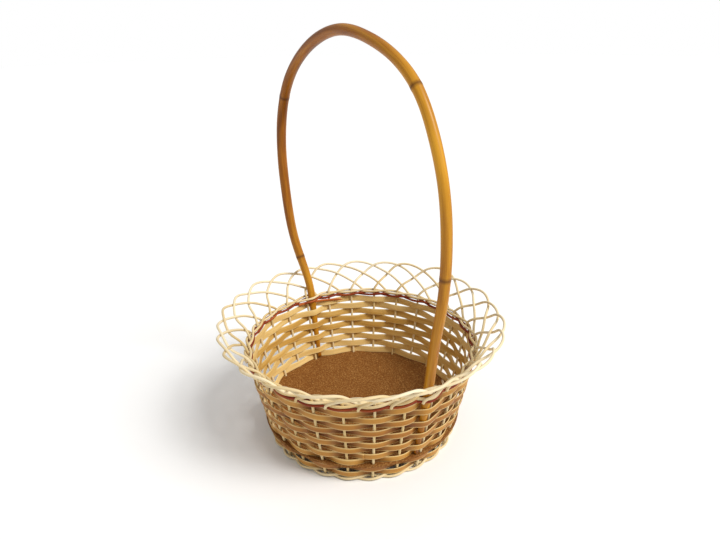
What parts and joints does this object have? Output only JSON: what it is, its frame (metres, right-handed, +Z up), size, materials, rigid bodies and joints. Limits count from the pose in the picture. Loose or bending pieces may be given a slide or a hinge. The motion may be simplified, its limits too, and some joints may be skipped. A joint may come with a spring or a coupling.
{
  "type": "wicker basket",
  "caption": "Round woven cane basket with flared sides, a raised hardboard base, a looped fringe above the rim and a tall arched carrying handle.",
  "frame": {"origin": "on the floor, at the centre of the ring that the basket stands on", "axes": "+Z up; the arched handle stands over the X axis with its thinner side at +X, and leans 11 mm towards -Y"},
  "size_m": [0.3316, 0.3108, 0.4321],
  "materials": {
    "natural_cane": "unvarnished peeled cane, satin",
    "flat_cane": "unvarnished flat cane, satin",
    "dyed_cane": "dyed maroon, satin",
    "handle_cane": "whole rattan pole with its skin on, semi-gloss",
    "hardboard": "raw hardboard, matt"
  },
  "bodies": {
    "root": {"base_board": "hardboard", "dyed_strand_inner_first": "dyed_cane", "dyed_strand_outer_first": "dyed_cane", "foot_rod_inner_first": "natural_cane", "foot_rod_outer_first": "natural_cane", "handle_cane": "handle_cane", "rim_rod_inner_first": "natural_cane", "rim_rod_outer_first": "natural_cane", "stake_01": "natural_cane", "stake_02": "natural_cane", "stake_03": "natural_cane", "stake_04": "natural_cane", "stake_05": "natural_cane", "stake_06": "natural_cane", "stake_07": "natural_cane", "stake_08": "natural_cane", "stake_09": "natural_cane", "stake_10": "natural_cane", "stake_11": "natural_cane", "stake_12": "natural_cane", "stake_13": "natural_cane", "stake_14": "natural_cane", "stake_15": "natural_cane", "stake_16": "natural_cane", "stake_17": "natural_cane", "stake_18": "natural_cane", "stake_19": "natural_cane", "stake_20": "natural_cane", "stake_21": "natural_cane", "stake_22": "natural_cane", "stake_23": "natural_cane", "stake_24": "natural_cane", "stake_25": "natural_cane", "stake_26": "natural_cane", "weaver_row_01": "flat_cane", "weaver_row_02": "flat_cane", "weaver_row_03": "flat_cane", "weaver_row_04": "flat_cane", "weaver_row_05": "flat_cane", "weaver_row_06": "flat_cane", "weaver_row_07": "flat_cane", "weaver_row_08": "flat_cane", "weaver_row_09": "flat_cane", "weaver_row_10": "flat_cane", "weaver_row_11": "flat_cane"}
  },
  "joints": []
}
